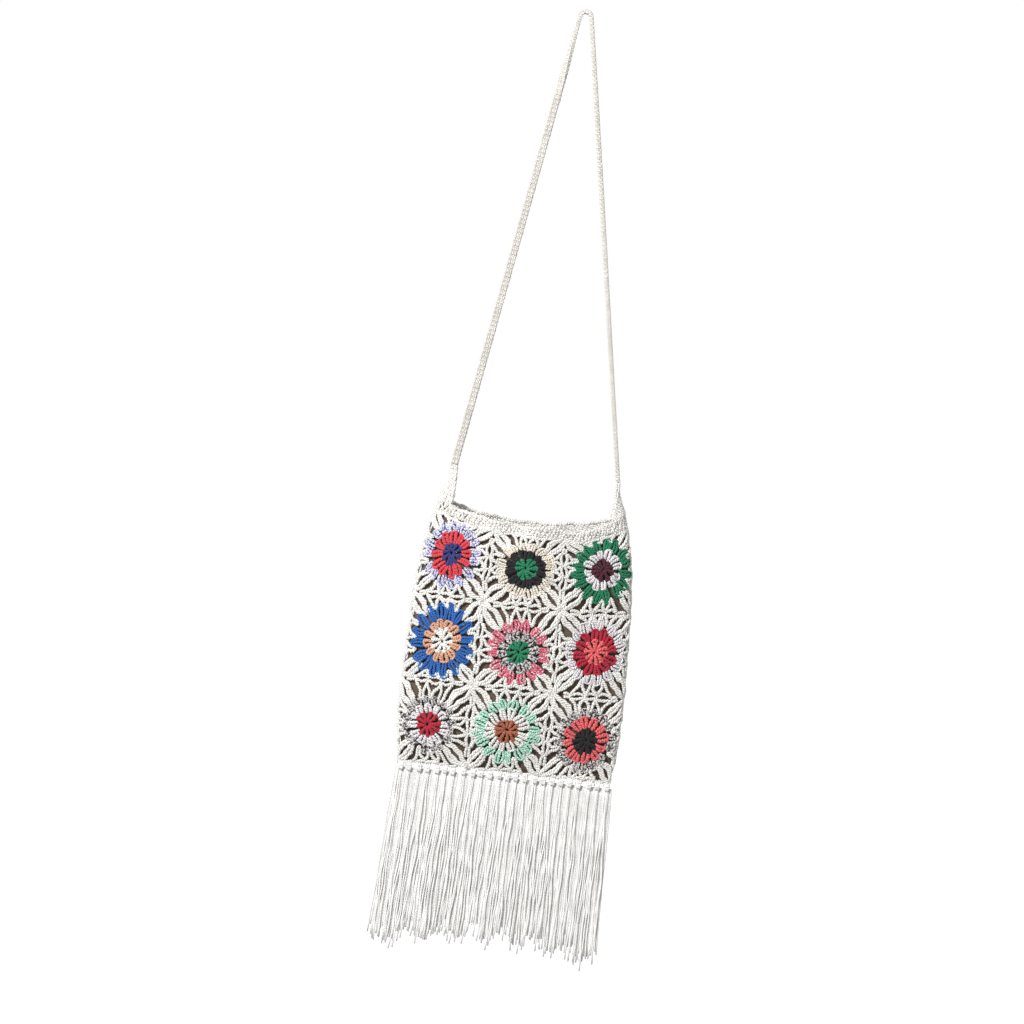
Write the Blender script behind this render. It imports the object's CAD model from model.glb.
import math

import bpy
import numpy as np
from mathutils import Matrix, Vector


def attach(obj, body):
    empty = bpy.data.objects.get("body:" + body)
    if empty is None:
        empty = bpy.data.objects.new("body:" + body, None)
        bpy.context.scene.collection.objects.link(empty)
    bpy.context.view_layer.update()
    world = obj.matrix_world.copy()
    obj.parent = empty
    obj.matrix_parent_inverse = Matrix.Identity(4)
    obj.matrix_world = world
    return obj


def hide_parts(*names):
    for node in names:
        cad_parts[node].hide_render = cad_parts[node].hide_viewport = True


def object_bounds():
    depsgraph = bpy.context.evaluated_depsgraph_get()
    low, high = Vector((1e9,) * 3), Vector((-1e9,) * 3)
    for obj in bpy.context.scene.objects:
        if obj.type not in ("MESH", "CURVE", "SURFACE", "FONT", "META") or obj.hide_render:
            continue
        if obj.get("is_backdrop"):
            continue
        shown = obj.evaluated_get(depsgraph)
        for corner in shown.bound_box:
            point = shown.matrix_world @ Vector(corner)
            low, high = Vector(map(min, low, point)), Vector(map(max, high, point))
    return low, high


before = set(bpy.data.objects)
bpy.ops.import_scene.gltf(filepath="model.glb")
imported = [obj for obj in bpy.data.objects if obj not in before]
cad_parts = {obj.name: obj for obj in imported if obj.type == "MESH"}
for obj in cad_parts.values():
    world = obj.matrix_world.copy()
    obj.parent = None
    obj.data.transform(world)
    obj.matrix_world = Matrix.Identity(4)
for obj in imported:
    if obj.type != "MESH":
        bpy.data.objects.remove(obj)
cad_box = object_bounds()


# The bag's form. Two panels of nine squares hang as one pocket: a wide shallow arc in front, the
# same behind and a small arc at each side, closed to a thin edge at the bottom. Every stitch below
# is laid out on the flat cloth in millimetres and then placed on this form.

COLUMNS = 3
ROWS = 3
SQUARE_WIDTH = 78
SQUARE_HEIGHT = 86
RIM_HEIGHT = 12
BAG_DEPTH = 64
SIDE_RADIUS = 10
RIM_SAG = 18
BOTTOM_EDGE_DEPTH = 8.4
BOTTOM_EDGE_RADIUS = 3.6
STRAP_DROP = 493
MM = 0.001

FLAT_HALF = COLUMNS * SQUARE_WIDTH / 2
GIRTH = 4 * FLAT_HALF
LACE_HEIGHT = ROWS * SQUARE_HEIGHT
BAG_HEIGHT = LACE_HEIGHT + RIM_HEIGHT
BOTTOM_Z = -STRAP_DROP - BAG_HEIGHT

# Height is a share of the bag's height, width of half the flat cloth, depth and radius of the way
# from the bottom edge's sizes to the full ones, sag of the rim's sag.
SECTION_HEIGHTS = (0.0, 0.16, 0.48, 0.8, 1.0)
SECTION_WIDTHS = (0.919, 0.957, 0.953, 0.906, 0.803)
SECTION_DEPTHS = (0.0, 0.42, 0.68, 0.93, 1.0)
SECTION_RADII = (0.0, 0.69, 0.84, 1.0, 1.0)
SECTION_SAGS = (0.0, 0.0, 0.15, 0.35, 1.0)

# The soft edge of the mouth droops a little more than the even sag, most at one place of the
# front: girth and spread as shares of half the flat cloth, drop in millimetres.
EDGE_DROOP = 5
FRONT_DROOP = 6
DROOP_GIRTH = 0.5
DROOP_SPREAD = 0.2

# Dents and bulges of the front: girth, spread, rise, reach and out, as shares of half the flat
# cloth, the bag's height and its depth.
DENTS = (
    (-0.16, 0.12, 1.0, 0.1, -0.14),
    (0.12, 0.14, 1.0, 0.07, 0.05),
    (-0.3, 0.2, 0.62, 0.12, -0.02),
    (0.42, 0.2, 0.3, 0.16, -0.025),
)


def smooth_table(keys, values, at):
    """Reads a table between its rows, along a smooth curve through them."""
    keys = np.asarray(keys, float)
    values = np.asarray(values, float)
    last = len(keys) - 1
    where = np.clip(at, keys[0], keys[last])
    low = np.clip(np.searchsorted(keys, where, side="left") - 1, 0, last - 1)
    before = np.maximum(np.arange(last + 1) - 1, 0)
    after = np.minimum(np.arange(last + 1) + 1, last)
    slopes = (values[after] - values[before]) / (keys[after] - keys[before])
    step = keys[low + 1] - keys[low]
    share = (where - keys[low]) / step
    square = share * share
    cube = square * share
    return (
        (2 * cube - 3 * square + 1) * values[low]
        + (3 * square - 2 * cube) * values[low + 1]
        + (cube - 2 * square + share) * step * slopes[low]
        + (cube - square) * step * slopes[low + 1]
    )


def section_at(rise):
    """Half width, half depth, corner radius, face radius, face angle, quarter girth and sag."""
    height = np.asarray(rise, float) / BAG_HEIGHT
    edge = BOTTOM_EDGE_DEPTH / 2
    half_width = smooth_table(SECTION_HEIGHTS, SECTION_WIDTHS, height) * FLAT_HALF
    half_depth = edge + smooth_table(SECTION_HEIGHTS, SECTION_DEPTHS, height) * (BAG_DEPTH / 2 - edge)
    growth = SIDE_RADIUS - BOTTOM_EDGE_RADIUS
    corner = BOTTOM_EDGE_RADIUS + smooth_table(SECTION_HEIGHTS, SECTION_RADII, height) * growth
    reach = half_width - corner
    face_radius = (reach**2 + half_depth**2 - corner**2) / (2 * (half_depth - corner))
    face_angle = np.arcsin(reach / (face_radius - corner))
    quarter = face_radius * face_angle + corner * (math.pi / 2 - face_angle)
    sag = smooth_table(SECTION_HEIGHTS, SECTION_SAGS, height) * RIM_SAG
    return half_width, half_depth, corner, face_radius, face_angle, quarter, sag


def place(cloth):
    """Takes points on the flat cloth (girth, rise, out) to points in space, all in millimetres."""
    girth, rise, out = cloth[..., 0], cloth[..., 1], cloth[..., 2]
    around = np.mod(girth + FLAT_HALF, GIRTH) - FLAT_HALF
    behind = around > FLAT_HALF
    across = np.where(behind, 2 * FLAT_HALF - around, around)
    half_width, half_depth, corner, face_radius, face_angle, quarter, sag = section_at(rise)
    length = np.abs(across) / FLAT_HALF * quarter
    face_length = face_radius * face_angle
    on_face = length <= face_length
    angle = np.where(on_face, length / face_radius, face_angle + (length - face_length) / corner)
    face_y = face_radius - half_depth - face_radius * np.cos(angle)
    x = np.where(on_face, face_radius * np.sin(angle), half_width - corner + corner * np.sin(angle))
    y = np.where(on_face, face_y, -corner * np.cos(angle))
    offset = np.array(out, float)
    for dent_girth, spread, dent_rise, reach, dent_out in DENTS:
        beside = (across / FLAT_HALF - dent_girth) / spread
        above = (rise / BAG_HEIGHT - dent_rise) / reach
        pushed = dent_out * BAG_DEPTH * np.exp(-(beside**2) - above**2)
        offset = offset + np.where(behind, 0.0, pushed)
    side = np.where(across < 0, -1.0, 1.0)
    x = side * (x + offset * np.sin(angle))
    y = np.where(behind, -1.0, 1.0) * (y - offset * np.cos(angle))
    share = across / FLAT_HALF
    droop = EDGE_DROOP * (1 - share**2) ** 0.5
    lowest = FRONT_DROOP * np.exp(-(((share - DROOP_GIRTH) / DROOP_SPREAD) ** 2))
    droop = np.where(behind, 0.0, droop + lowest)
    drop = sag * (1 - share**2 + droop / RIM_SAG)
    return np.stack([x, y, BOTTOM_Z + rise - drop], axis=-1)


# Coloured rounds of the front squares. Each square is crocheted from the middle: ten posts into a
# ring, a round of twelve petals of two posts, and a round of sixteen puffed clusters of three
# posts, all in soft two-ply cotton. A post is a pair of strands twisted round each other.

CENTER_POSTS = 10
PETALS = 12
PETAL_POSTS = 2
CLUSTERS = 16
CLUSTER_POSTS = 3
MOTIF_LEVEL = -1.2
POST_PUFF = 0.7
STRAND_SHARE = 0.6
TWIST_PITCH = 5.6
TWIST_FLATNESS = 0.62
YARN_SIDES = 6
END_TAPER = 0.6
TAPER_REACH = 0.16
FRONT_POINTS = 9

# Where the first round starts and the last one ends, as shares of the outer radius, and how far
# each later round reaches under the one before.
CENTER_START = 0.05
MOTIF_END = 0.985
PETAL_OVERLAP = 0.02
CLUSTER_OVERLAP = 0.03

# How much of its part of the round each group of posts fills, where along it that is measured, and
# how wide the group is along its length, as shares of its full width.
CENTER_FILL = 1.05
PETAL_FILL = 0.97
CLUSTER_FILL = 0.9
WIDTH_PLACE = 0.55
PETAL_ALONG = (0, 0.55, 0.85, 1)
PETAL_WIDTHS = (0.55, 1.0, 0.98, 0.8)
CLUSTER_ALONG = (0, 0.4, 0.75, 1)
CLUSTER_WIDTHS = (0.62, 1.04, 0.92, 0.56)

# How unevenly the posts are worked: width as a share, lean and depth in millimetres, and the turn
# of a cluster in radians.
UNEVEN_WIDTH = 0.1
UNEVEN_LEAN = 0.35
UNEVEN_DEPTH = 0.15
UNEVEN_TURN = 0.03

# The looped head over each group, in millimetres: how far its middle lies beyond the posts' ends,
# how far its ends are drawn back, how high it lies and how deep its ends dive.
HEAD_BEYOND = 0.3
HEAD_BACK = 1.8
HEAD_RISE = 0.9
HEAD_DIVE = 1.1
HEAD_POINTS = 7

# Waves that pull the finished cloth: along the girth, the rise or outward (0, 1 or 2), size in
# millimetres, turns round the bag, turns up it, and start.
PULLS = (
    (0, 0.75, 19, 7, 0.0),
    (0, 0.55, 31, -13, 1.0),
    (1, 0.75, 11, -12, 2.0),
    (1, 0.55, 37, 9, 0.0),
    (2, 0.4, 17, 11, 0.5),
)

# Row and column, width and height as shares of the square, shift to the right and up, where the
# first two rounds end as shares of the outer radius, and the yarns of the three rounds.
MOTIFS = (
    (1, 1, 0.78, 0.88, 0.0, 0.025, 0.32, 0.66, ("navy_yarn", "red_yarn", "lavender_yarn")),
    (1, 2, 0.78, 0.77, 0.0, -0.02, 0.34, 0.66, ("green_yarn", "black_yarn", "cream_yarn")),
    (1, 3, 0.84, 0.85, 0.02, 0.04, 0.32, 0.6, ("burgundy_yarn", "soft_white_yarn", "green_yarn")),
    (2, 1, 0.82, 0.9, 0.04, -0.02, 0.32, 0.56, ("white_yarn", "peach_yarn", "blue_yarn")),
    (2, 2, 0.79, 0.78, 0.02, -0.04, 0.34, 0.64, ("green_yarn", "gray_yarn", "pink_yarn")),
    (2, 3, 0.77, 0.79, 0.0, 0.04, 0.36, 0.7, ("coral_yarn", "crimson_yarn", "soft_white_yarn")),
    (3, 1, 0.7, 0.67, -0.03, -0.03, 0.42, 0.72, ("crimson_yarn", "soft_white_yarn", "gray_yarn")),
    (3, 2, 0.85, 0.77, -0.02, 0.0, 0.34, 0.66, ("rust_yarn", "white_yarn", "mint_yarn")),
    (3, 3, 0.78, 0.77, 0.0, -0.02, 0.38, 0.7, ("black_yarn", "coral_yarn", "gray_yarn")),
)

# Colour, the colour of the flecks spun into the yarn, and how much of it the flecks take.
YARN_COLORS = {
    "white_yarn": ((0.86, 0.84, 0.8), (0.72, 0.69, 0.64), 0.12),
    "strap_yarn": ((0.72, 0.69, 0.64), (0.55, 0.51, 0.45), 0.25),
    "fringe_yarn": ((0.93, 0.92, 0.9), (0.86, 0.845, 0.82), 0.12),
    "fringe_yarn_behind": ((0.85, 0.835, 0.81), (0.78, 0.76, 0.73), 0.2),
    "navy_yarn": ((0.03, 0.035, 0.19), (0.2, 0.1, 0.3), 0.2),
    "red_yarn": ((0.72, 0.05, 0.07), (0.8, 0.25, 0.3), 0.2),
    "lavender_yarn": ((0.7, 0.71, 0.85), (0.05, 0.06, 0.34), 0.5),
    "green_yarn": ((0.008, 0.22, 0.1), (0.03, 0.38, 0.2), 0.25),
    "black_yarn": ((0.008, 0.008, 0.012), (0.05, 0.045, 0.06), 0.2),
    "cream_yarn": ((0.88, 0.82, 0.72), (0.74, 0.56, 0.38), 0.4),
    "burgundy_yarn": ((0.09, 0.01, 0.03), (0.2, 0.03, 0.08), 0.2),
    "blue_yarn": ((0.015, 0.13, 0.47), (0.07, 0.3, 0.68), 0.3),
    "peach_yarn": ((0.72, 0.38, 0.24), (0.8, 0.6, 0.46), 0.3),
    "gray_yarn": ((0.66, 0.63, 0.62), (0.02, 0.017, 0.022), 0.58),
    "pink_yarn": ((0.74, 0.12, 0.2), (0.9, 0.62, 0.63), 0.5),
    "coral_yarn": ((0.82, 0.13, 0.14), (0.86, 0.35, 0.33), 0.25),
    "crimson_yarn": ((0.48, 0.012, 0.04), (0.66, 0.05, 0.1), 0.25),
    "soft_white_yarn": ((0.82, 0.79, 0.81), (0.62, 0.58, 0.68), 0.2),
    "rust_yarn": ((0.42, 0.12, 0.06), (0.6, 0.28, 0.18), 0.25),
    "mint_yarn": ((0.36, 0.75, 0.56), (0.78, 0.9, 0.83), 0.52),
}


def link(tree, source, target):
    """Joins two sockets of a node tree."""
    tree.links.new(source, target)


def math_node(tree, operation, first, second=None):
    """Adds a Math node whose inputs are sockets or plain numbers, and gives its output."""
    node = tree.nodes.new("ShaderNodeMath")
    node.operation = operation
    for number, value in enumerate((first, second)):
        if value is None:
            continue
        if isinstance(value, (int, float)):
            node.inputs[number].default_value = value
        else:
            link(tree, value, node.inputs[number])
    return node.outputs[0]


def noise_node(tree, position, scale, detail):
    """Adds a Noise Texture and gives its grey value."""
    node = tree.nodes.new("ShaderNodeTexNoise")
    node.inputs["Scale"].default_value = scale
    node.inputs["Detail"].default_value = detail
    link(tree, position, node.inputs["Vector"])
    return node.outputs["Fac"]


def mix_colors(tree, share, first, second, blend="MIX"):
    """Adds a colour Mix node and gives its result."""
    node = tree.nodes.new("ShaderNodeMix")
    node.data_type = "RGBA"
    node.blend_type = blend
    for value, socket in ((share, node.inputs[0]), (first, node.inputs[6]), (second, node.inputs[7])):
        if isinstance(value, (int, float, tuple)):
            socket.default_value = value
        else:
            link(tree, value, socket)
    return node.outputs[2]


def darkened(tree, color, lightness):
    """Multiplies a colour by a grey value."""
    gray = tree.nodes.new("ShaderNodeCombineColor")
    for number in range(3):
        link(tree, lightness, gray.inputs[number])
    return mix_colors(tree, 1.0, color, gray.outputs[0], "MULTIPLY")


def add_bump(tree, shader, height, strength, distance):
    """Shades the surface as if the height socket raised it."""
    bump = tree.nodes.new("ShaderNodeBump")
    bump.inputs["Strength"].default_value = strength
    bump.inputs["Distance"].default_value = distance
    link(tree, height, bump.inputs["Height"])
    link(tree, bump.outputs["Normal"], shader.inputs["Normal"])


def new_material(name, specular):
    """A new material. Gives it with its node tree and its Principled shader."""
    material = bpy.data.materials.new(name)
    material.use_nodes = True
    tree = material.node_tree
    shader = tree.nodes["Principled BSDF"]
    shader.inputs["Specular IOR Level"].default_value = specular
    return material, tree, shader


# The twisted cotton: the pitch of its two plies in millimetres, how round they are, how dark the
# groove between them is in the worked yarn and in the loose fringe, and how fine the fibres, the
# uneven dye and the flecks are.
PLIES = 2
PLY_PITCH = 2.7
PLY_ROUNDNESS = 0.6
PLY_DEPTH = 0.7
FRINGE_PLY_DEPTH = 0.12
FIBRE_SCALE = 1600.0
DYE_SCALE = 90.0
FLECK_SCALE = 520.0
FLECK_SHARPNESS = 11.0
YARN_INPUTS = {
    "UV": "Vector",
    "Position": "Vector",
    "Yarn Color": "Color",
    "Fleck Color": "Color",
    "Fleck Share": "Float",
    "Ply Depth": "Float",
}
YARN_OUTPUTS = {"Color": "Color", "Roughness": "Float", "Height": "Float"}


def make_yarn_group():
    """Twisted cotton: slanting plies along the strand, fine fibres, flecks and uneven dye."""
    tree = bpy.data.node_groups.new("twisted_cotton", "ShaderNodeTree")
    for in_out, sockets in (("INPUT", YARN_INPUTS), ("OUTPUT", YARN_OUTPUTS)):
        for socket_name, kind in sockets.items():
            tree.interface.new_socket(socket_name, in_out=in_out, socket_type="NodeSocket" + kind)
    given = tree.nodes.new("NodeGroupInput")
    result = tree.nodes.new("NodeGroupOutput")
    split = tree.nodes.new("ShaderNodeSeparateXYZ")
    link(tree, given.outputs["UV"], split.inputs[0])

    around = math_node(tree, "MULTIPLY", split.outputs[0], PLIES)
    along = math_node(tree, "DIVIDE", split.outputs[1], PLY_PITCH)
    turn = math_node(tree, "MULTIPLY", math_node(tree, "ADD", around, along), math.pi)
    ply = math_node(tree, "ABSOLUTE", math_node(tree, "SINE", turn))
    ply_height = math_node(tree, "POWER", ply, PLY_ROUNDNESS)

    fibre = noise_node(tree, given.outputs["Position"], FIBRE_SCALE, 3.0)
    dye = noise_node(tree, given.outputs["Position"], DYE_SCALE, 2.0)
    fleck_field = noise_node(tree, given.outputs["Position"], FLECK_SCALE, 1.0)
    fleck_reach = math_node(tree, "MULTIPLY", given.outputs["Fleck Share"], 0.5)
    fleck_edge = math_node(tree, "SUBTRACT", 0.78, fleck_reach)
    fleck_side = math_node(tree, "SUBTRACT", fleck_field, fleck_edge)
    fleck = tree.nodes.new("ShaderNodeClamp")
    link(tree, math_node(tree, "MULTIPLY", fleck_side, FLECK_SHARPNESS), fleck.inputs["Value"])

    flecked = mix_colors(tree, fleck.outputs[0], given.outputs["Yarn Color"], given.outputs["Fleck Color"])
    shade = math_node(tree, "ADD", math_node(tree, "MULTIPLY", dye, 0.4), 0.8)
    sunk = math_node(tree, "SUBTRACT", 0.9, ply_height)
    groove = math_node(tree, "MULTIPLY", sunk, given.outputs["Ply Depth"])
    valley = math_node(tree, "SUBTRACT", 1.0, groove)
    lightness = math_node(tree, "MULTIPLY", shade, valley)
    link(tree, darkened(tree, flecked, lightness), result.inputs["Color"])

    rough = math_node(tree, "ADD", math_node(tree, "MULTIPLY", fibre, 0.2), 0.74)
    link(tree, rough, result.inputs["Roughness"])
    fibre_height = math_node(tree, "MULTIPLY", fibre, 0.35)
    link(tree, math_node(tree, "ADD", ply_height, fibre_height), result.inputs["Height"])
    return tree


yarn_group = make_yarn_group()


def yarn_material(yarn):
    """The procedural material of one yarn of YARN_COLORS, made when it is first asked for."""
    name = "twisted_" + yarn
    if name in bpy.data.materials:
        return bpy.data.materials[name]
    color, fleck_color, fleck_share = YARN_COLORS[yarn]
    material, tree, shader = new_material(name, 0.25)
    shader.inputs["Sheen Weight"].default_value = 0.15
    shader.inputs["Sheen Roughness"].default_value = 0.6
    coordinates = tree.nodes.new("ShaderNodeTexCoord")
    group = tree.nodes.new("ShaderNodeGroup")
    group.node_tree = yarn_group
    link(tree, coordinates.outputs["UV"], group.inputs["UV"])
    link(tree, coordinates.outputs["Object"], group.inputs["Position"])
    ply_depth = FRINGE_PLY_DEPTH if yarn.startswith("fringe") else PLY_DEPTH
    group.inputs["Yarn Color"].default_value = (*color, 1.0)
    group.inputs["Fleck Color"].default_value = (*fleck_color, 1.0)
    group.inputs["Fleck Share"].default_value = fleck_share
    group.inputs["Ply Depth"].default_value = ply_depth
    link(tree, group.outputs["Color"], shader.inputs["Base Color"])
    link(tree, group.outputs["Roughness"], shader.inputs["Roughness"])
    add_bump(tree, shader, group.outputs["Height"], 0.8, 0.0006)
    return material


def unit(vectors):
    """Vectors scaled to length one."""
    return vectors / np.maximum(np.linalg.norm(vectors, axis=-1, keepdims=True), 1e-9)


def tube_mesh(name, batches):
    """One mesh of round strands. A batch is (lines, radii, sides): lines is strands by points by
    xyz in millimetres, radii is strands by points. UV runs round the strand and along it in mm."""
    corners, quads, caps, quad_uv, cap_uv = [], [], {}, [], {}
    start = 0
    for lines, radii, sides in batches:
        count, points = lines.shape[:2]
        ahead = unit(np.gradient(lines, axis=1))
        helper = np.where(np.abs(ahead[:, 0, 2:3]) < 0.8, [[0.0, 0.0, 1.0]], [[1.0, 0.0, 0.0]])
        across = np.empty_like(ahead)
        before = helper
        for step in range(points):
            along = np.sum(before * ahead[:, step], axis=-1, keepdims=True)
            before = unit(before - along * ahead[:, step])
            across[:, step] = before
        above = np.cross(ahead, across)
        turn = 2 * np.pi * np.arange(sides) / sides
        ring = np.cos(turn)[:, None] * across[:, :, None, :] + np.sin(turn)[:, None] * above[:, :, None, :]
        corners.append((lines[:, :, None, :] + radii[:, :, None, None] * ring).reshape(-1, 3))
        number = start + np.arange(count * points * sides).reshape(count, points, sides)
        beside = np.roll(number, -1, axis=2)
        quads.append(
            np.stack([number[:, :-1], beside[:, :-1], beside[:, 1:], number[:, 1:]], axis=-1).reshape(-1, 4)
        )
        gone = np.linalg.norm(np.diff(lines, axis=1), axis=-1)
        length = np.concatenate([np.zeros((count, 1)), np.cumsum(gone, axis=1)], axis=1)
        low = np.broadcast_to(length[:, :-1, None], (count, points - 1, sides))
        high = np.broadcast_to(length[:, 1:, None], (count, points - 1, sides))
        left = np.broadcast_to(np.arange(sides) / sides, low.shape)
        right = left + 1 / sides
        quad_uv.append(
            np.stack([left, low, right, low, right, high, left, high], axis=-1).reshape(-1, 2)
        )
        ends = np.concatenate([number[:, 0, ::-1], number[:, -1]])
        caps.setdefault(sides, []).append(ends)
        cap_uv.setdefault(sides, []).append(np.full((len(ends) * sides, 2), 0.25))
        start += count * points * sides
    faces = np.concatenate(quads).tolist()
    uv = [np.concatenate(quad_uv)]
    for sides, ends in caps.items():
        faces += np.concatenate(ends).tolist()
        uv.append(np.concatenate(cap_uv[sides]))
    mesh = bpy.data.meshes.new(name)
    mesh.from_pydata((np.concatenate(corners) * MM).tolist(), [], faces)
    mesh.uv_layers.new(name="strand").data.foreach_set("uv", np.concatenate(uv).ravel())
    mesh.polygons.foreach_set("use_smooth", np.ones(len(faces), bool))
    mesh.update()
    return mesh


def add_piece(name, mesh, material):
    """Puts a mesh in the scene in the place of the CAD node of the same name."""
    mesh.materials.append(material)
    piece = bpy.data.objects.new(name + "_yarn", mesh)
    bpy.context.scene.collection.objects.link(piece)
    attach(piece, "root")
    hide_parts(name)
    return piece


def add_yarn_piece(name, batches, yarn):
    """Puts strands of one yarn in the scene in the place of the CAD node of the same name."""
    return add_piece(name, tube_mesh(name, batches), yarn_material(yarn))


def ease(share):
    """Goes smoothly from 0 to 1 as share does."""
    share = np.clip(share, 0, 1)
    return share * share * (3 - 2 * share)


def tapered(radius, count, points):
    """Strand radii that draw in at both ends, where the yarn dives into the work."""
    along = np.linspace(0, 1, points)
    drawn = END_TAPER + (1 - END_TAPER) * ease(np.minimum(along, 1 - along) / TAPER_REACH)
    return np.asarray(radius, float).reshape(-1, 1) * np.ones((count, 1)) * drawn


def twisted_pair(lines, spread, radius, turns, phase):
    """Two strands wound round each flat line. spread is how far each strand's middle lies from it,
    per point. Gives the strands on the cloth and their radii."""
    count, points = lines.shape[:2]
    ahead = unit(np.gradient(lines, axis=1))
    beside = unit(np.stack([ahead[..., 1], -ahead[..., 0], np.zeros_like(ahead[..., 0])], axis=-1))
    outward = np.array([0.0, 0.0, 1.0])
    spread = np.broadcast_to(spread, (count, points))[..., None]
    turned = np.asarray(phase, float).reshape(-1, 1) + 2 * np.pi * turns * np.linspace(0, 1, points)
    both = []
    for half_turn in (0, np.pi):
        angle = (turned + half_turn)[..., None]
        wound = np.cos(angle) * beside + TWIST_FLATNESS * np.sin(angle) * outward
        both.append(lines + spread * wound)
    return np.concatenate(both), np.tile(tapered(radius, count, points), (2, 1))


def radial_posts(center, half_sizes, angles, reach, offsets, half_width, shape, random):
    """Posts side by side in each group of a round. angles are the groups' directions, reach the
    start and end as shares of the outer radius, offsets the posts' places across the group."""
    along = np.linspace(0, 1, len(shape))
    start, end = reach
    share = start + (end - start) * along
    lines = []
    spreads = []
    for offset in offsets:
        direction = np.stack([np.cos(angles), np.sin(angles)], axis=-1) * half_sizes
        line = center + share[None, :, None] * direction[:, None, :]
        ahead = unit(direction)
        beside = np.stack([ahead[:, 1], -ahead[:, 0]], axis=-1)
        width = half_width * (1 + UNEVEN_WIDTH * random.standard_normal(len(angles)))[:, None] * shape
        line = line + beside[:, None, :] * (offset * width)[..., None]
        lean = UNEVEN_LEAN * random.standard_normal((len(angles), 1)) * (along - 0.5)
        puff = POST_PUFF * (1 - 0.35 * abs(offset)) * np.sin(np.pi * along)
        out = MOTIF_LEVEL + puff + lean + UNEVEN_DEPTH * random.standard_normal((len(angles), 1))
        lines.append(np.concatenate([line, out[..., None]], axis=-1))
        spreads.append(width / len(offsets))
    return np.concatenate(lines), np.concatenate(spreads)


def stitch_heads(center, half_sizes, angles, share, half_width):
    """A yarn loop laid over the outer end of each group, pointing outward."""
    across = np.linspace(-1, 1, HEAD_POINTS)
    direction = np.stack([np.cos(angles), np.sin(angles)], axis=-1) * half_sizes
    ahead = unit(direction)
    beside = np.stack([ahead[:, 1], -ahead[:, 0]], axis=-1)
    tip = center + share * direction
    line = tip[:, None, :] + beside[:, None, :] * (across * half_width)[None, :, None]
    line = line + ahead[:, None, :] * (HEAD_BEYOND - HEAD_BACK * across**2)[None, :, None]
    out = np.broadcast_to(MOTIF_LEVEL + HEAD_RISE - HEAD_DIVE * across**2, line.shape[:2])
    return np.concatenate([line, out[..., None]], axis=-1)


def round_of_posts(center, half_sizes, angles, reach, posts, fill, shape, random):
    """The strands of one round on the cloth, with the looped head on top of each group."""
    start, end = reach
    middle_radius = np.mean(half_sizes) * (start + WIDTH_PLACE * (end - start))
    half_width = fill * math.pi * middle_radius / len(angles)
    offsets = [(2 * number + 1) / posts - 1 for number in range(posts)]
    lines, spreads = radial_posts(center, half_sizes, angles, reach, offsets, half_width, shape, random)
    radius = STRAND_SHARE * half_width / posts
    phase = random.uniform(0, 2 * np.pi, len(lines))
    length = np.mean(half_sizes) * (end - start)
    strands, radii = twisted_pair(lines, spreads - radius * 0.9, radius, length / TWIST_PITCH, phase)
    heads = stitch_heads(center, half_sizes, angles, end, half_width * shape[-2])
    return [(strands, radii), (heads, tapered(radius * 0.95, len(heads), HEAD_POINTS))]


def square_center(row, column, start):
    """The middle of a square on the flat cloth. start is the girth where its panel starts."""
    girth = start + (column - 0.5) * SQUARE_WIDTH
    rise = (ROWS - row + 0.5) * SQUARE_HEIGHT
    return np.array([girth, rise])


def motif_place(row, column, width, height, right, up):
    """The middle of a front motif on the flat cloth, and its half sizes."""
    middle = square_center(row, column, -FLAT_HALF) + np.array([right * SQUARE_WIDTH, up * SQUARE_HEIGHT])
    return middle, np.array([width * SQUARE_WIDTH, height * SQUARE_HEIGHT]) / 2


def motif_rounds(center, half_sizes, shares, random, points):
    """The strands of the three rounds of a motif: center posts, petals and clusters."""
    center_end, middle_end = shares
    first = np.arange(CENTER_POSTS) * 2 * np.pi / CENTER_POSTS + random.uniform(0, 0.6)
    second = np.arange(PETALS) * 2 * np.pi / PETALS + random.uniform(0, 0.5)
    third = (np.arange(CLUSTERS) + 0.5) * 2 * np.pi / CLUSTERS
    third = third + UNEVEN_TURN * random.standard_normal(CLUSTERS)
    along = np.linspace(0, 1, points)
    fan = 0.3 + 0.75 * ease(along / 0.9)
    petal = np.interp(along, PETAL_ALONG, PETAL_WIDTHS)
    puff = smooth_table(CLUSTER_ALONG, CLUSTER_WIDTHS, along)
    first_reach = (CENTER_START, center_end)
    second_reach = (center_end - PETAL_OVERLAP, middle_end)
    third_reach = (middle_end - CLUSTER_OVERLAP, MOTIF_END)
    return [
        round_of_posts(center, half_sizes, *one_round, random)
        for one_round in (
            (first, first_reach, 1, CENTER_FILL, fan),
            (second, second_reach, PETAL_POSTS, PETAL_FILL, petal),
            (third, third_reach, CLUSTER_POSTS, CLUSTER_FILL, puff),
        )
    ]


def uneven(cloth):
    """Pulls points of the flat cloth a little to and fro, as hand work is never quite even."""
    turn = 2 * np.pi * cloth[..., 0] / GIRTH
    climb = 2 * np.pi * cloth[..., 1] / LACE_HEIGHT
    pulled = cloth.copy()
    for axis, size, turns_round, turns_up, start in PULLS:
        pulled[..., axis] += size * np.sin(turns_round * turn + turns_up * climb + start)
    return pulled


def placed(parts, sides):
    """Batches for tube_mesh from strands on the flat cloth."""
    return [(place(uneven(strands)), radii, sides) for strands, radii in parts]


for row, column, *sizes, center_end, middle_end, yarns in MOTIFS:
    random = np.random.default_rng(100 * row + column)
    middle, half_sizes = motif_place(row, column, *sizes)
    rounds = motif_rounds(middle, half_sizes, (center_end, middle_end), random, FRONT_POINTS)
    for round_name, parts, yarn in zip(("center", "middle", "outer"), rounds, yarns):
        add_yarn_piece(f"square_{row}_{column}_{round_name}", placed(parts, YARN_SIDES), yarn)


# White lace of the front. It grows out of the gaps between the clusters: a pair of legs in each
# side gap and two pairs at each corner, tied to nodes on the seams by chains. Between them lie
# arched holes, small diamonds on the seams and an eight-leaved star at each corner of the squares.

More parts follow.
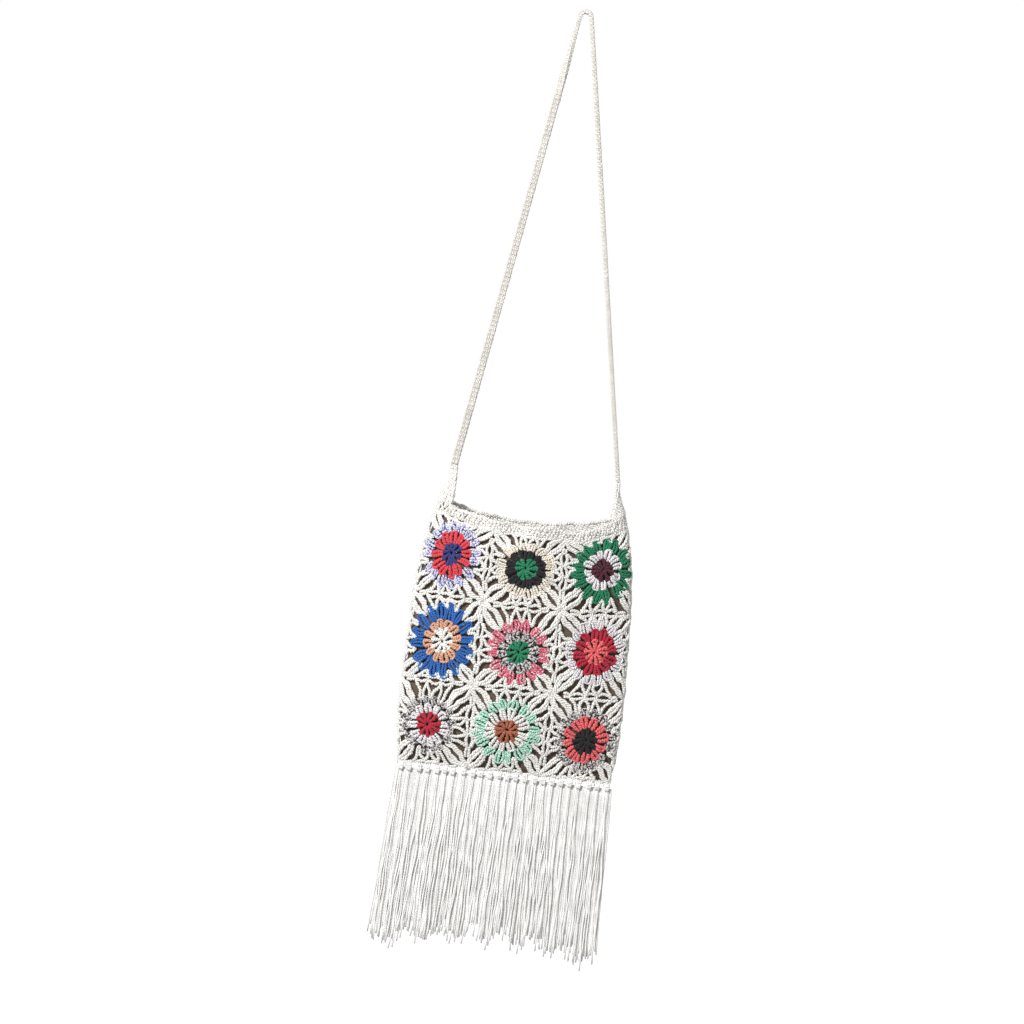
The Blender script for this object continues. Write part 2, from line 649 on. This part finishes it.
# Levels, radii and distances are in millimetres. A leg starts at a share of the motif's radius and
# parts at a share of its own length, and the nodes lie at shares of half the seam.
LACE_LEVEL = -1.5
UNEVEN_LACE = 0.18
LEG_SPREAD = 0.92
LEG_RADIUS = 1.36
LEG_START = 0.86
LEG_APART = 1.8
LEG_PARTING = 0.42
SEAM_INSET = 1.3
SIDE_NODES = (-0.5, -1 / 6, 1 / 6, 0.5)
CHAIN_SPREAD = 0.75
CHAIN_RADIUS = 1.12
CHAIN_INSET = 1.15
CHAIN_BULGES = (0.5, 1.75, 1.75, 1.75, 0.5)
CORNER_SPREAD = 0.8
CORNER_RADIUS = 1.38
CORNER_REACH = 0.72

# How far the inner and the outer corner legs lie from the diagonal along their way.
CORNER_LEG_ALONG = (0, 0.55, 0.8, 1)
CORNER_LEG_OFFSETS = ((1.5, 3.4, 1.632, 0.2), (4.0, 6.3, 3.024, 0.7))

# The small knot over each node of the seams.
KNOT_HALF = 2.0
KNOT_LEVEL = -0.7
KNOT_DIVE = 1.1
KNOT_RADIUS = 1.0
KNOT_POINTS = 5


def leg_lines(starts, ends, spans, near, far, points):
    """Two legs from each start to the two ends, which lie spans to either side of ends. The legs
    run side by side near the start and part on the way."""
    along = np.linspace(0, 1, points)
    middle = starts[:, None, :] + (ends - starts)[:, None, :] * along[None, :, None]
    lines = []
    for side in (-1, 1):
        apart = near * ease(along / 0.2)[None, :, None] * unit(spans)[:, None, :]
        parted = ease((along - far) / (1 - far))[None, :, None]
        reach = spans[:, None, :] - near * unit(spans)[:, None, :]
        lines.append(middle + side * (apart + parted * reach))
    return np.concatenate(lines)


def chain_arcs(first, second, bulges, inward, points):
    """A chain between each pair of nodes, bulging inward into its own square."""
    along = np.linspace(0, 1, points)
    line = first[:, None, :] + (second - first)[:, None, :] * along[None, :, None]
    arch = np.sin(np.pi * along)[None, :, None] * bulges[:, None, None]
    return line + inward[:, None, :] * (CHAIN_INSET + arch)


def lace_strands(lines, spread, radius, random):
    """A twisted pair of strands along each line of the lace, at slightly uneven depths."""
    length = np.linalg.norm(np.diff(lines, axis=1), axis=-1).sum(1).mean()
    depth = LACE_LEVEL + UNEVEN_LACE * random.standard_normal((len(lines), 1))
    lift = np.broadcast_to(depth, lines.shape[:2])
    flat = np.concatenate([lines, lift[..., None]], axis=-1)
    phase = random.uniform(0, 2 * np.pi, len(flat))
    return twisted_pair(flat, spread, radius, length / TWIST_PITCH, phase)


def seam_knots(middle, half):
    """A short strand across the seam at each node of the square's top and right edges."""
    nodes = []
    for share in SIDE_NODES:
        nodes.append((share * half[0], half[1], 0.0))
        nodes.append((half[0], share * half[1], 1.0))
    nodes = np.array(nodes)
    across = np.linspace(-1, 1, KNOT_POINTS)
    over = np.stack([nodes[:, 2], 1 - nodes[:, 2]], axis=-1)
    lines = middle + nodes[:, None, :2] + over[:, None, :] * (across * KNOT_HALF)[None, :, None]
    lift = np.broadcast_to(KNOT_LEVEL - KNOT_DIVE * across**2, lines.shape[:2])
    flat = np.concatenate([lines, lift[..., None]], axis=-1)
    return flat, tapered(KNOT_RADIUS, len(flat), KNOT_POINTS)


def square_lace(middle, motif_middle, half_sizes, points, random):
    """The white strands of one square on the flat cloth."""
    half = np.array([SQUARE_WIDTH, SQUARE_HEIGHT]) / 2
    along = np.linspace(0, 1, points)
    parts = []
    for quarter in range(4):
        turn = quarter * math.pi / 2
        ahead = np.array([round(math.cos(turn)), round(math.sin(turn))])
        beside = np.array([-ahead[1], ahead[0]])
        seam = middle + ahead * np.abs(ahead @ half)
        along_edge = beside * np.abs(beside @ half)

        angles = turn + np.array([-1, 0, 1]) * math.pi / 8
        rays = np.stack([np.cos(angles), np.sin(angles)], axis=-1) * half_sizes
        starts = motif_middle + LEG_START * rays
        ends = np.array([seam + along_edge * share for share in (-1 / 3, 0, 1 / 3)]) - SEAM_INSET * ahead
        spans = np.tile(along_edge / 6, (3, 1))
        legs = leg_lines(starts, ends, spans, LEG_APART, LEG_PARTING, points)
        parts.append(lace_strands(legs, LEG_SPREAD, LEG_RADIUS, random))

        node_shares = (-CORNER_REACH, *SIDE_NODES, CORNER_REACH)
        nodes = np.array([seam + along_edge * share for share in node_shares])
        inward = np.tile(-ahead, (len(nodes) - 1, 1))
        chains = chain_arcs(nodes[:-1], nodes[1:], np.array(CHAIN_BULGES), inward, points)
        parts.append(lace_strands(chains, CHAIN_SPREAD, CHAIN_RADIUS, random))

        corner_turn = turn + math.pi / 4
        ray = np.array([math.cos(corner_turn), math.sin(corner_turn)]) * half_sizes
        start = motif_middle + LEG_START * ray
        corner = seam + along_edge
        diagonal = unit(corner - start)
        aside = np.array([diagonal[1], -diagonal[0]])
        line = start + (corner - start) * along[:, None]
        corner_legs = []
        for side in (-1, 1):
            for offsets in CORNER_LEG_OFFSETS:
                offset = smooth_table(CORNER_LEG_ALONG, offsets, along)
                corner_legs.append(line + side * aside * offset[:, None])
        parts.append(lace_strands(np.array(corner_legs), CORNER_SPREAD, CORNER_RADIUS, random))
    parts.append(seam_knots(middle, half))
    return parts


lace_parts = []
for motif in MOTIFS:
    row, column = motif[:2]
    random = np.random.default_rng(500 + 10 * row + column)
    middle = square_center(row, column, -FLAT_HALF)
    motif_middle, half_sizes = motif_place(*motif[:6])
    lace_parts += square_lace(middle, motif_middle, half_sizes, FRONT_POINTS, random)
add_yarn_piece("front_lace", placed(lace_parts, YARN_SIDES), "white_yarn")


# The back panel: nine squares of the same stitches, each motif in one colour, in the same lace.
# Less of it is ever seen, so its strands have fewer points and sides.

BACK_MOTIF_WIDTH = 64
BACK_MOTIF_HEIGHT = 70
BACK_ROUND_ENDS = (0.34, 0.65)
BACK_YARNS = ("blue_yarn", "pink_yarn", "green_yarn")
BACK_POINTS = 7
BACK_SIDES = 5

back_lace_parts = []
back_half_sizes = np.array([BACK_MOTIF_WIDTH, BACK_MOTIF_HEIGHT]) / 2
for row in range(1, ROWS + 1):
    for column in range(1, COLUMNS + 1):
        random = np.random.default_rng(900 + 10 * row + column)
        middle = square_center(row, column, FLAT_HALF)
        rounds = motif_rounds(middle, back_half_sizes, BACK_ROUND_ENDS, random, BACK_POINTS)
        parts = [part for one_round in rounds for part in one_round]
        yarn = BACK_YARNS[(row + column) % len(BACK_YARNS)]
        add_yarn_piece(f"back_square_{row}_{column}", placed(parts, BACK_SIDES), yarn)
        back_lace_parts += square_lace(middle, middle, back_half_sizes, BACK_POINTS, random)
add_yarn_piece("back_lace", placed(back_lace_parts, BACK_SIDES), "white_yarn")


# The rim: two rows of upright stitches worked all round the mouth in the white yarn, with a chain
# along the top edge and another where they start.

RIM_WALL = 3.6
RIM_PITCH = 4.4
RIM_ROWS = 2
RIM_POINTS = 8
RIM_INSET = 0.6
RIM_STRAND = 1.12
RIM_TURNS = 0.8
RIM_LEAN = 0.9
UNEVEN_RIM_LEAN = 0.35
RIM_LAP = 0.3
RIM_OVERREACH = 0.9
RIM_ARCH = 0.35
UNEVEN_RIM_DEPTH = 0.25
RIM_SPREAD = 1.0
RIM_SWELL = 0.12
EDGE_INSET = 0.9
EDGE_WAVE = 0.35
EDGE_SPREAD = 0.95
LOW_EDGE_STRAND = 0.9
TOP_EDGE_STRAND = 1.15
EDGE_POINTS_PER_STITCH = 4

rim_parts = []
rim_random = np.random.default_rng(31)
rim_columns = round(GIRTH / RIM_PITCH)
rim_step = GIRTH / rim_columns
row_height = (RIM_HEIGHT - 2 * RIM_INSET) / RIM_ROWS
along = np.linspace(0, 1, RIM_POINTS)
for rim_row in range(RIM_ROWS):
    girth = (np.arange(rim_columns) + 0.5 * rim_row) * rim_step - FLAT_HALF
    low = LACE_HEIGHT + RIM_INSET + rim_row * row_height
    slant = rim_random.normal(RIM_LEAN, UNEVEN_RIM_LEAN, rim_columns)[:, None] * (along - 0.5)
    rise = np.broadcast_to(low - RIM_LAP + (row_height + RIM_OVERREACH) * along, slant.shape)
    depth = UNEVEN_RIM_DEPTH * rim_random.standard_normal((rim_columns, 1))
    out = -RIM_WALL / 2 + RIM_ARCH * np.sin(np.pi * along) + depth
    lines = np.stack([girth[:, None] + slant, rise, out], axis=-1)
    phase = rim_random.uniform(0, 2 * np.pi, rim_columns)
    spread = RIM_SPREAD + RIM_SWELL * np.sin(np.pi * along)
    rim_parts.append(twisted_pair(lines, spread, RIM_STRAND, RIM_TURNS, phase))
edges = ((LACE_HEIGHT + EDGE_INSET, LOW_EDGE_STRAND), (BAG_HEIGHT - EDGE_INSET, TOP_EDGE_STRAND))
for edge_rise, edge_strand in edges:
    steps = rim_columns * EDGE_POINTS_PER_STITCH
    girth = np.arange(steps + 1) * GIRTH / steps - FLAT_HALF
    wave = EDGE_WAVE * np.sin(girth / rim_step * 2 * np.pi)
    line = np.stack([girth, edge_rise + wave, np.full_like(girth, -RIM_WALL / 2)], axis=-1)[None]
    rim_parts.append(twisted_pair(line, EDGE_SPREAD, edge_strand, rim_columns, [0.0]))
add_yarn_piece("rim_band", placed(rim_parts, YARN_SIDES), "white_yarn")


# The lining: a brown cotton pocket sewn in just under the rim. It hangs behind the lace and shows
# through every hole of it, and is closed along its bottom fold.

LINING_LEVEL = -4.4
LINING_LIFT = 3
LINING_BELOW_RIM = 3
LINING_HALF_GAP = 0.25
LINING_COLUMNS = 96
LINING_ROWS = 30
THREAD_PITCH = 0.7
DARK_BROWN = (0.075, 0.05, 0.036, 1.0)
LIGHT_BROWN = (0.25, 0.185, 0.14, 1.0)


def make_cloth_material():
    """Plain-woven brown cotton: crossed threads, uneven dye and darker folds."""
    material, tree, shader = new_material("woven_lining_cloth", 0.2)
    coordinates = tree.nodes.new("ShaderNodeTexCoord")
    split = tree.nodes.new("ShaderNodeSeparateXYZ")
    link(tree, coordinates.outputs["UV"], split.inputs[0])
    thread = 2 * math.pi / THREAD_PITCH
    across = math_node(tree, "SINE", math_node(tree, "MULTIPLY", split.outputs[0], thread))
    along = math_node(tree, "SINE", math_node(tree, "MULTIPLY", split.outputs[1], thread))
    weave = math_node(tree, "MULTIPLY", across, along)
    dye = noise_node(tree, coordinates.outputs["Object"], 45.0, 3.0)
    slub = noise_node(tree, coordinates.outputs["Object"], 900.0, 2.0)
    dyed = mix_colors(tree, dye, DARK_BROWN, LIGHT_BROWN)
    threads = math_node(tree, "ADD", math_node(tree, "MULTIPLY", weave, 0.12), 0.88)
    link(tree, darkened(tree, dyed, threads), shader.inputs["Base Color"])
    rough = math_node(tree, "ADD", math_node(tree, "MULTIPLY", slub, 0.15), 0.78)
    link(tree, rough, shader.inputs["Roughness"])
    add_bump(tree, shader, math_node(tree, "ADD", weave, slub), 0.5, 0.0003)
    return material


girths = np.arange(LINING_COLUMNS) * GIRTH / LINING_COLUMNS - FLAT_HALF
rises = np.linspace(LINING_LIFT, LACE_HEIGHT - LINING_BELOW_RIM, LINING_ROWS)
levels = np.maximum(LINING_LEVEL, LINING_HALF_GAP - section_at(rises)[2])
cloth = np.stack(np.broadcast_arrays(girths, rises[:, None], levels[:, None]), axis=-1)
number = np.arange(LINING_ROWS * LINING_COLUMNS).reshape(LINING_ROWS, LINING_COLUMNS)
beside = np.roll(number, -1, axis=1)
faces = np.stack([number[:-1], beside[:-1], beside[1:], number[1:]], axis=-1).reshape(-1, 4).tolist()
uv = []
for low_rise, high_rise in zip(rises[:-1], rises[1:]):
    for step in range(LINING_COLUMNS):
        left, right = np.array([step, step + 1]) * GIRTH / LINING_COLUMNS
        uv += [left, low_rise, right, low_rise, right, high_rise, left, high_rise]
for step in range(LINING_COLUMNS // 2):
    mirror = (LINING_COLUMNS - step) % LINING_COLUMNS
    corners = [step, mirror, LINING_COLUMNS - step - 1, step + 1]
    kept = list(dict.fromkeys(corners))
    if len(kept) > 2:
        faces.append(kept)
        uv += [0.0, 0.0] * len(kept)
mesh = bpy.data.meshes.new("lining")
mesh.from_pydata((place(cloth).reshape(-1, 3) * MM).tolist(), [], faces)
mesh.uv_layers.new(name="cloth").data.foreach_set("uv", uv)
mesh.polygons.foreach_set("use_smooth", np.ones(len(faces), bool))
lining = add_piece("lining", mesh, make_cloth_material())


# The strap: a narrow band of two columns of chain stitches in a greyer yarn, alike on both faces,
# over three straight cords. It rises from the side seams and bends over what the bag hangs on,
# face-on at the left and edge-on at the right.

STRAP_WIDTH = 8.5
STRAP_THICKNESS = 4.5
BEND_RADIUS = 3.5
TAB_HEIGHT = 30
TAB_INSET = 11.5
GAP = 0.3
STRAP_STITCH = 4.6
STRAP_STRAND = 1.12
STRAP_SLANT = 0.11
STITCH_DIVE = 0.55
STITCH_RISE = 0.6
STITCH_START = 0.1
STITCH_REACH = 1.25
FACE_SHIFT = 0.25
UNEVEN_STITCH = 0.12
STITCH_POINTS = 7
STRAP_SIDES = 5
CORE_ACROSS = (-2.3, 0.0, 2.3)
CORE_RADIUS = 1.3
CORE_POINTS = 240
TURN_ALONG = (0.0, 0.4, 0.48, 1.0)
TURN_DEGREES = (78, 78, 4, 0)


def strap_frame():
    """Leg length, bend length, leg angle and bend radius of the strap's middle line."""
    radius = BEND_RADIUS + STRAP_THICKNESS / 2
    foot_x = float(section_at(BAG_HEIGHT)[0]) - TAB_INSET
    reach = np.array([foot_x, -STRAP_DROP + TAB_HEIGHT + GAP + BEND_RADIUS])
    distance = np.linalg.norm(reach)
    leg_angle = math.atan2(reach[1], reach[0]) + math.acos(radius / distance)
    leg = math.sqrt(distance**2 - radius**2)
    bend = (math.pi - 2 * leg_angle) * radius
    return leg, bend, leg_angle, radius


def strap_point(length, across, out):
    """A point of the strap: length from its left foot, across its band, and out from its middle."""
    leg, bend, leg_angle, radius = strap_frame()
    total = 2 * leg + bend
    share = np.clip((length - leg) / bend, 0, 1)
    angle = (math.pi - leg_angle) + (2 * leg_angle - math.pi) * share
    outward = np.stack([np.cos(angle), np.zeros_like(angle), np.sin(angle)], axis=-1)
    ahead = np.stack([np.sin(angle), np.zeros_like(angle), -np.cos(angle)], axis=-1)
    past = np.where(length < leg, length - leg, np.where(length > leg + bend, length - leg - bend, 0.0))
    middle = np.array([0.0, 0.0, -BEND_RADIUS]) + radius * outward + past[..., None] * ahead
    turn = np.radians(smooth_table(TURN_ALONG, TURN_DEGREES, length / total))[..., None]
    back = np.array([0.0, 1.0, 0.0])
    wide = back * np.cos(turn) + outward * np.sin(turn)
    thick = outward * np.cos(turn) - back * np.sin(turn)
    return middle + np.asarray(across)[..., None] * wide + np.asarray(out)[..., None] * thick


leg, bend = strap_frame()[:2]
strap_length = 2 * leg + bend
strap_random = np.random.default_rng(71)
rows = int(strap_length / STRAP_STITCH)
step = strap_length / rows
along = np.linspace(0, 1, STITCH_POINTS)
drawn = 0.35 + 0.65 * ease(along / 0.6)
level = STRAP_THICKNESS / 2 - STRAP_STRAND - STITCH_DIVE + STITCH_RISE * np.sin(np.pi * along)
strap_batches = []
for face in (-1, 1):
    for column_middle in (-STRAP_WIDTH / 5, STRAP_WIDTH / 5):
        for slant in (-1, 1):
            begin = np.arange(rows)[:, None] * step + FACE_SHIFT * face * STRAP_STITCH
            length = begin + (STITCH_REACH * along[None, :] - STITCH_START) * step
            length = np.clip(length, 0.0, strap_length)
            across = column_middle + slant * STRAP_WIDTH * STRAP_SLANT * drawn
            across = across + UNEVEN_STITCH * strap_random.standard_normal((rows, 1))
            line = strap_point(length, across, face * np.broadcast_to(level, length.shape))
            strap_batches.append((line, tapered(STRAP_STRAND, rows, STITCH_POINTS), STRAP_SIDES))
core_shape = (len(CORE_ACROSS), CORE_POINTS)
core_length = np.broadcast_to(np.linspace(0, strap_length, CORE_POINTS), core_shape)
core_across = np.broadcast_to(np.array(CORE_ACROSS)[:, None], core_shape)
core_line = strap_point(core_length, core_across, np.zeros(core_shape))
strap_batches.append((core_line, np.full(core_shape, CORE_RADIUS), YARN_SIDES))
add_yarn_piece("strap", strap_batches, "strap_yarn")


# The strap tabs: at each side seam rows of the same stitches, in the white yarn, are worked onto
# the rim and narrow from there into the strap.

TAB_SPAN = 46
TAB_WALL = 3
TAB_ROWS = 7
TAB_STITCH = 4.4
TAB_STRAND_SHARE = 0.24
TAB_STRAND_MORE = 0.12
TAB_REACH = 1.3
UNEVEN_TAB = 0.02


def tab_point(side, share, rise, out):
    """A point of a tab: share across it from -1 to 1, rise from 0 at the rim to 1 at the strap."""
    foot_out = -RIM_WALL / 2 + out * TAB_WALL / 2
    girth = side * (FLAT_HALF + share * TAB_SPAN / 2)
    foot = place(np.stack([girth, np.full_like(girth, BAG_HEIGHT + GAP), foot_out], axis=-1))
    length = np.full_like(girth, 0.0 if side < 0 else strap_length)
    top = strap_point(length, share * STRAP_WIDTH / 2, out * STRAP_THICKNESS / 2)
    eased = np.sin(rise * np.pi / 2)[..., None]
    mixed = foot + (top - foot) * eased
    mixed[..., 2] = foot[..., 2] + (top[..., 2] - foot[..., 2]) * rise
    return mixed


along = np.linspace(0, 1, STITCH_POINTS)
drawn = 0.3 + 0.7 * ease(along / 0.6)
for tab_name, side in (("left_strap_tab", -1), ("right_strap_tab", 1)):
    tab_batches = []
    tab_random = np.random.default_rng(80 + side)
    for tab_row in range(TAB_ROWS):
        eased = math.sin(tab_row / TAB_ROWS * math.pi / 2)
        row_width = TAB_SPAN + (STRAP_WIDTH - TAB_SPAN) * eased
        stitches = max(2, round(row_width / TAB_STITCH))
        middles = (np.arange(stitches) + 0.5) / stitches * 2 - 1
        radius = TAB_STRAND_SHARE * row_width / stitches + TAB_STRAND_MORE
        for face in (-1, 1):
            for slant in (-1, 1):
                share = middles[:, None] + slant * drawn * 0.5 / stitches
                share = share + UNEVEN_TAB * tab_random.standard_normal((stitches, 1))
                rise = np.clip((tab_row + TAB_REACH * along - STITCH_START) / TAB_ROWS, 0, 1)
                level = face * np.broadcast_to(0.3 + 0.25 * np.sin(np.pi * along), share.shape)
                line = tab_point(side, share, np.broadcast_to(rise, share.shape), level)
                tab_batches.append((line, tapered(radius, stitches, STITCH_POINTS), STRAP_SIDES))
    add_yarn_piece(tab_name, tab_batches, "white_yarn")


# The fringe: twenty-four bundles of soft cotton strands, each folded in half and looped through
# the bottom edge with a lark's head knot. The strands hang free in two layers, a little wavy, with
# uneven ends.

FRINGE_LENGTH = 178
FRINGE_LOCKS = 24
FRINGE_SPREAD = 5
FRINGE_SWING = -4
LOCK_WIDTH = 7.6
HEADER_HEIGHT = 5
FRINGE_STRAND = 0.8
FRINGE_POINTS = 18
UNEVEN = 0.07
UNEVEN_PLACE = 0.7
SWAY_WAVES = ((1.1, 7), (0.5, 23))
DEPTH_WAVE = 0.15

# The knot of each lock in millimetres: the loop that lies across it, and the strands that come
# over the bottom edge and down through the loop, in front and behind.
LOOP_POINTS = 7
LOOP_HALF = 2.3
LOOP_OUT = 3.9
LOOP_DIVE = 2.4
LOOP_LIFT = 0.6
LOOP_DROOP = 0.9
LOOP_STRAND = 1.5
FOLD_OFFSETS = (-1.9, 0.0, 1.9)
FOLD_OUT = 2.6
FOLD_BULGE = 0.8
FOLD_LIFT = 2.0
FOLD_DROP = 9.5
FOLD_STRAND = 0.95

# The front and the back layer of a lock: its strands, half its width at the knot and how much
# wider it hangs, how far back the even strands lie and how much farther back the odd ones, how
# much of the full sway they have, and how far their ends and their starts are scattered.
FRINGE_LAYERS = (
    (5, 1.7, 1.9, -1.1, -0.5, 1.0, 2.2, 0.5),
    (9, 5.6, 0.4, 0.1, 0.3, 0.3, 0.5, 0.15),
)
LAYER_SIDES = (6, 5)

# The strands' lengths across the bag, from its left to its right edge, in each layer.
LENGTH_SHARES = (-1.0, -0.6, 0.0, 0.6, 1.0)
LAYER_LENGTHS = ((1.05, 0.98, 0.96, 0.98, 1.04), (1.02, 0.95, 0.91, 0.94, 1.0))

fringe_random = np.random.default_rng(17)
bottom_half = float(section_at(0.0)[0]) - LOCK_WIDTH / 2
header_z = BOTTOM_Z - GAP - HEADER_HEIGHT / 2
across = np.linspace(-1, 1, LOOP_POINTS)
folded = np.linspace(0, 1, LOOP_POINTS)
down = np.linspace(0, 1, FRINGE_POINTS)
loose = ease(down / 0.5)
layer_lines = ([], [])
loop_lines = []
fold_lines = []
for lock in range(FRINGE_LOCKS):
    share = 2 * lock / (FRINGE_LOCKS - 1) - 1
    x = share * bottom_half + fringe_random.normal(0, UNEVEN_PLACE)
    lock_length = FRINGE_LENGTH * (1 - UNEVEN * (0.5 + 0.5 * math.sin(lock * 1.9 + 1)))
    for front in (-1, 1):
        loop_x = x + fringe_random.normal(0, 0.4) + LOOP_HALF * across
        loop_y = front * (LOOP_OUT - LOOP_DIVE * across**2)
        loop_z = header_z + LOOP_LIFT - LOOP_DROOP * across**2 + fringe_random.normal(0, 0.6)
        loop_lines.append(np.stack([loop_x, loop_y, loop_z], axis=-1))
        fold_y = front * (FOLD_OUT + FOLD_BULGE * np.sin(np.pi * folded))
        fold_z = BOTTOM_Z + FOLD_LIFT + fringe_random.uniform(-0.8, 0.8) - FOLD_DROP * folded
        for offset in FOLD_OFFSETS:
            fold_lines.append(np.stack([x + offset * (1.1 - 0.5 * folded), fold_y, fold_z], axis=-1))
    for layer, (strands, width, wider, back, farther, sway, ends, starts) in enumerate(FRINGE_LAYERS):
        for strand in range(strands):
            usual = np.interp(share, LENGTH_SHARES, LAYER_LENGTHS[layer])
            length = lock_length * (usual + fringe_random.uniform(-0.03, 0.045))
            wave = fringe_random.uniform(0, 2 * np.pi, 3)
            drift = fringe_random.normal(0, ends) * down**1.5 + 1.2 * down * math.sin(lock * 2.3)
            place_in_lock = ((strand + 0.5) / strands * 2 - 1) * (width + wider * loose)
            swayed = sway * sum(
                size * np.sin(down * turns + start) for (size, turns), start in zip(SWAY_WAVES, wave)
            )
            line_x = x + (share * FRINGE_SPREAD + FRINGE_SWING) * down + place_in_lock + drift
            line_x = line_x + ease(down / 0.3) * swayed + fringe_random.normal(0, starts)
            line_y = (back + farther * (strand % 2)) * (1 + 0.3 * loose) + 0.5 * down * math.cos(lock * 1.7)
            line_y = line_y + loose * DEPTH_WAVE * np.sin(down * 9 + wave[2])
            line_z = header_z - 2.0 - (length - HEADER_HEIGHT) * down
            layer_lines[layer].append(np.stack([line_x, line_y, line_z], axis=-1))

layer_radii = [np.full((len(lines), FRINGE_POINTS), FRINGE_STRAND) for lines in layer_lines]
front_batch, behind_batch = [
    (np.array(lines), radii, sides) for lines, radii, sides in zip(layer_lines, layer_radii, LAYER_SIDES)
]
loop_batch = (np.array(loop_lines), tapered(LOOP_STRAND, len(loop_lines), LOOP_POINTS), YARN_SIDES)
fold_batch = (np.array(fold_lines), tapered(FOLD_STRAND, len(fold_lines), LOOP_POINTS), YARN_SIDES)
batches = [front_batch, loop_batch, fold_batch, behind_batch]
side_faces = [len(lines) * (lines.shape[1] - 1) * sides for lines, radii, sides in batches]
fringe = add_yarn_piece("fringe", batches, "fringe_yarn")
fringe.data.materials.append(yarn_material("fringe_yarn_behind"))
material_numbers = np.zeros(len(fringe.data.polygons), np.int32)
material_numbers[sum(side_faces[:-1]) : sum(side_faces)] = 1
fringe.data.polygons.foreach_set("material_index", material_numbers)


# The stage: a plain pale floor well under the hanging bag, soft white light from all round, a lamp
# at the upper left in front and a wider one behind. The camera looks level at the front, rolled as
# the photograph is.

FLOOR_Z = -1.55
FLOOR_HALF = 12
CAMERA_DISTANCE = 3.0
SENSOR_WIDTH = 36
PICTURE_WIDTH = 1.024
PICTURE_MIDDLE_X = -0.0198
PICTURE_MIDDLE_Z = -0.5031
CAMERA_ROLL = 6.2
ROOM_LIGHT = 0.5
WHITE = (1.0, 1.0, 1.0, 1.0)
LAMP_TARGET = (0, 0, -0.6)

# Name, size of the disc, power and place of each lamp.
LAMPS = (
    ("soft_lamp", 0.5, 74, (-1.3, -1.9, 0.6)),
    ("back_lamp", 0.9, 48, (1.1, 2.2, 0.3)),
)

floor_mesh = bpy.data.meshes.new("floor")
floor_corners = [(x * FLOOR_HALF, y * FLOOR_HALF, FLOOR_Z) for x, y in ((-1, -1), (1, -1), (1, 1), (-1, 1))]
floor_mesh.from_pydata(floor_corners, [], [(0, 1, 2, 3)])
floor = bpy.data.objects.new("floor", floor_mesh)
bpy.context.scene.collection.objects.link(floor)
floor_material, floor_tree, floor_shader = new_material("pale_floor", 0.1)
floor_shader.inputs["Roughness"].default_value = 0.9
floor_shader.inputs["Emission Color"].default_value = WHITE
floor_shader.inputs["Emission Strength"].default_value = 0.6
floor_place = floor_tree.nodes.new("ShaderNodeTexCoord")
floor_tone = noise_node(floor_tree, floor_place.outputs["Object"], 3.0, 2.0)
floor_color = mix_colors(floor_tree, floor_tone, (0.95, 0.95, 0.95, 1.0), (0.98, 0.98, 0.98, 1.0))
link(floor_tree, floor_color, floor_shader.inputs["Base Color"])
floor_mesh.materials.append(floor_material)
floor.visible_diffuse = False
floor.visible_glossy = False
floor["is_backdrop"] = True

world = bpy.data.worlds.new("white_room")
world.use_nodes = True
world_tree = world.node_tree
room_light = world_tree.nodes["Background"]
room_light.inputs["Color"].default_value = WHITE
room_light.inputs["Strength"].default_value = ROOM_LIGHT
white_paper = world_tree.nodes.new("ShaderNodeBackground")
white_paper.inputs["Color"].default_value = WHITE
white_paper.inputs["Strength"].default_value = 1.0
seen = world_tree.nodes.new("ShaderNodeLightPath")
either = world_tree.nodes.new("ShaderNodeMixShader")
link(world_tree, seen.outputs["Is Camera Ray"], either.inputs[0])
link(world_tree, room_light.outputs[0], either.inputs[1])
link(world_tree, white_paper.outputs[0], either.inputs[2])
link(world_tree, either.outputs[0], world_tree.nodes["World Output"].inputs["Surface"])
bpy.context.scene.world = world

for lamp_name, size, power, lamp_place in LAMPS:
    lamp = bpy.data.lights.new(lamp_name, "AREA")
    lamp.shape = "DISK"
    lamp.size = size
    lamp.energy = power
    lamp_object = bpy.data.objects.new(lamp_name, lamp)
    lamp_object.location = lamp_place
    lamp_aim = Vector(LAMP_TARGET) - lamp_object.location
    lamp_object.rotation_euler = lamp_aim.to_track_quat("-Z", "Y").to_euler()
    bpy.context.scene.collection.objects.link(lamp_object)

camera = bpy.data.cameras.new("camera")
camera.sensor_width = SENSOR_WIDTH
camera.lens = SENSOR_WIDTH * CAMERA_DISTANCE / PICTURE_WIDTH
camera_object = bpy.data.objects.new("camera", camera)
roll = math.radians(CAMERA_ROLL)
camera_object.matrix_world = Matrix(
    (
        (math.cos(roll), -math.sin(roll), 0.0, PICTURE_MIDDLE_X),
        (0.0, 0.0, -1.0, -CAMERA_DISTANCE),
        (math.sin(roll), math.cos(roll), 0.0, PICTURE_MIDDLE_Z),
        (0.0, 0.0, 0.0, 1.0),
    )
)
bpy.context.scene.collection.objects.link(camera_object)
bpy.context.scene.camera = camera_object
bpy.context.scene.view_settings.view_transform = "Standard"

sizes = {"cad": [list(corner) for corner in cad_box], "visual": [list(corner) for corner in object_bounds()]}
